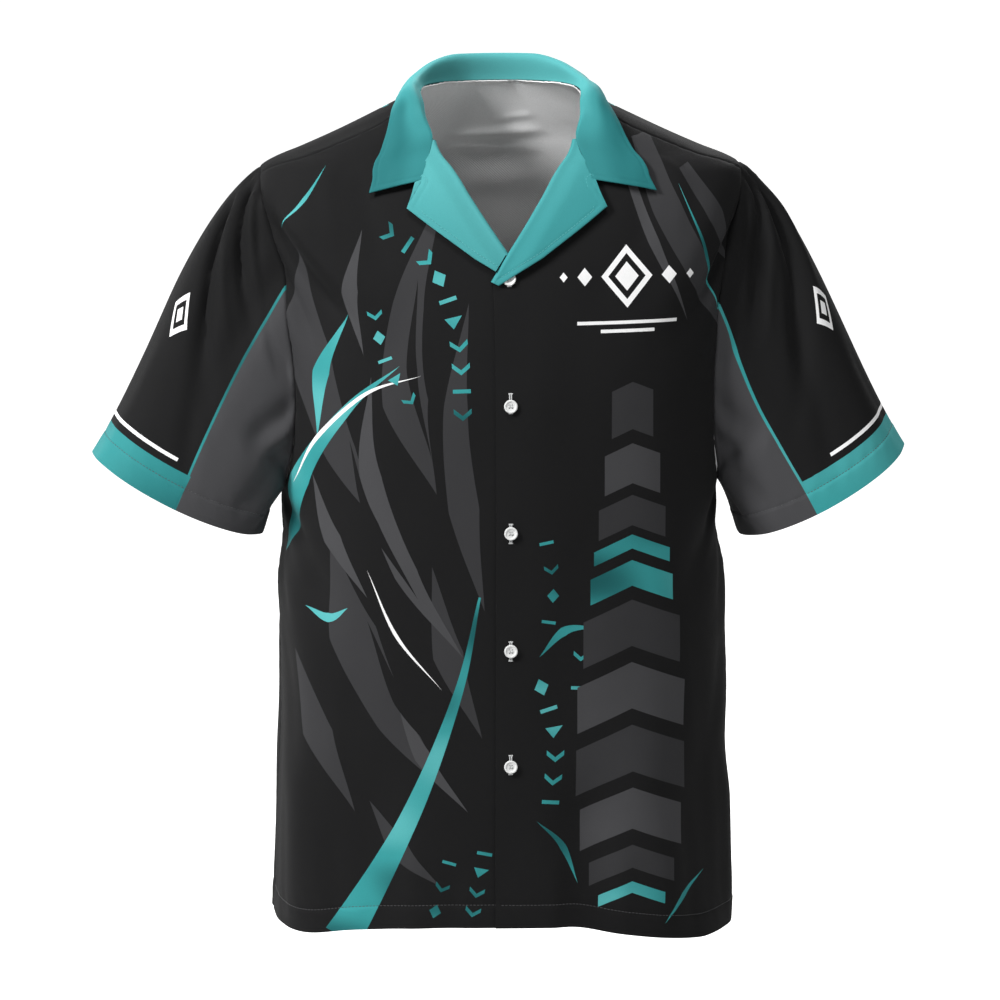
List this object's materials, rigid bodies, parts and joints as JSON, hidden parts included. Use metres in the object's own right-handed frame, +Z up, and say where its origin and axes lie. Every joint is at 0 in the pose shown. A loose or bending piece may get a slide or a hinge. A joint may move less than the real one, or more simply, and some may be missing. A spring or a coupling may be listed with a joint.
{
  "type": "bowling shirt",
  "caption": "Short-sleeved bowling shirt with a camp collar and notched lapels, buttoned down the front and filled out as worn.",
  "frame": {"origin": "middle of the neck at the level of the shoulders' neck ends, where a wearer's shoulders hold the shirt up", "axes": "+X towards the wearer's left sleeve, -Y out of the buttoned front, +Z up"},
  "size_m": [0.698, 0.2328, 0.751],
  "materials": {
    "black_cloth": "matte printed polyester twill",
    "teal_cloth": "matte printed polyester twill",
    "white_resin": "polished resin"
  },
  "bodies": {
    "root": {"back": "black_cloth", "front_left": "black_cloth", "front_right": "black_cloth", "sleeve_left": "black_cloth", "sleeve_right": "black_cloth", "collar": "teal_cloth", "lapel_left": "teal_cloth", "lapel_right": "teal_cloth", "button_1": "white_resin", "button_2": "white_resin", "button_3": "white_resin", "button_4": "white_resin", "button_5": "white_resin"}
  },
  "joints": []
}
